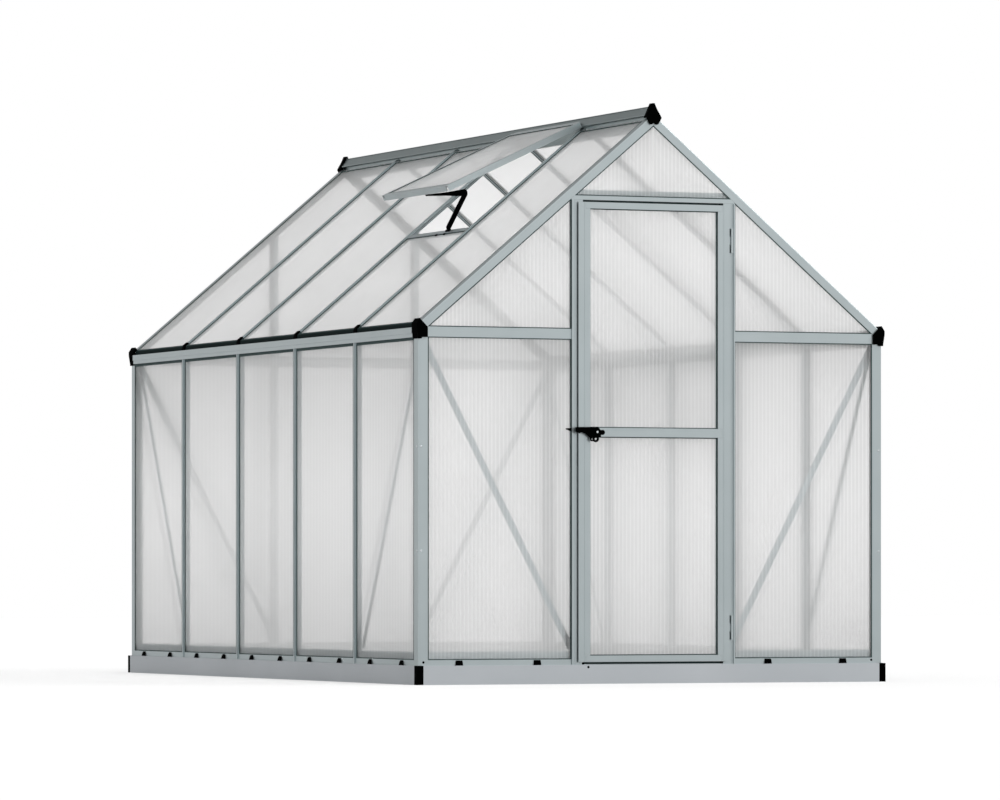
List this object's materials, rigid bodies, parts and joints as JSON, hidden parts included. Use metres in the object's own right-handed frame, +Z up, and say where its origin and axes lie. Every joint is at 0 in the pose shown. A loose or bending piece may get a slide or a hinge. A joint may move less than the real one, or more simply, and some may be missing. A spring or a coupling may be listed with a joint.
{
  "type": "hobby greenhouse",
  "caption": "Apex hobby greenhouse: aluminium bars and translucent twin-wall sheets on a low metal plinth, with a hinged gable door and an open roof vent.",
  "frame": {"origin": "centre of the plinth's four anchor holes, on the ground in the middle of the footprint", "axes": "+Z up, ridge along Y, the door gable faces -Y, the open roof vent is on the -X slope"},
  "size_m": [1.85, 3.0708, 2.087],
  "materials": {
    "frame": "mill finish",
    "plinth": "zinc coated, dull",
    "sheets": "twin-wall, translucent",
    "black_fittings": "moulded",
    "hinge_metal": "satin"
  },
  "bodies": {
    "frame": {"plinth_front": "plinth", "plinth_back": "plinth", "plinth_left": "plinth", "plinth_right": "plinth", "plinth_corner_caps": "black_fittings", "sill_front": "frame", "sill_back": "frame", "sill_left": "frame", "sill_right": "frame", "corner_posts": "frame", "wall_bars_left": "frame", "wall_bars_right": "frame", "eaves_beam_left": "frame", "eaves_beam_right": "frame", "eaves_corner_caps": "black_fittings", "door_jambs": "frame", "back_wall_posts": "frame", "door_header": "frame", "door_stops": "black_fittings", "gable_rails_front": "frame", "gable_rails_back": "frame", "gable_rafters_front": "frame", "gable_rafters_back": "frame", "roof_bars_left": "frame", "roof_bars_right": "frame", "ridge_beam": "frame", "ridge_end_caps": "black_fittings", "side_braces": "frame", "gable_braces": "frame", "wall_panels_left": "sheets", "wall_panels_right": "sheets", "wall_panels_front": "sheets", "wall_panels_back": "sheets", "gable_panels_front": "sheets", "gable_panels_back": "sheets", "roof_panels_left": "sheets", "roof_panels_right": "sheets", "vent_frame": "frame", "vent_panel": "sheets", "vent_stay": "black_fittings", "vent_sill": "frame", "roof_bar_clips": "black_fittings", "sill_clips": "black_fittings", "eaves_seals": "black_fittings", "vent_sill_clips": "black_fittings", "hinge_leaves_frame": "hinge_metal", "latch_keeper": "black_fittings"},
    "door": {"door_stiles": "frame", "door_rails": "frame", "door_panels": "sheets", "hinge_leaves_door": "hinge_metal", "latch_plate": "black_fittings"},
    "lever": {"latch_lever": "black_fittings"}
  },
  "joints": [
    {"name": "door_hinge", "type": "hinge", "parent": "frame", "child": "door", "pos_m": [0.308, -1.524, 0], "axis": [0, 0, 1], "range_deg": [0, 110]},
    {"name": "lever_turn", "type": "hinge", "parent": "door", "child": "lever", "pos_m": [-0.231, -1.54, 0.901], "axis": [0, 1, 0], "range_deg": [0, 90]}
  ]
}
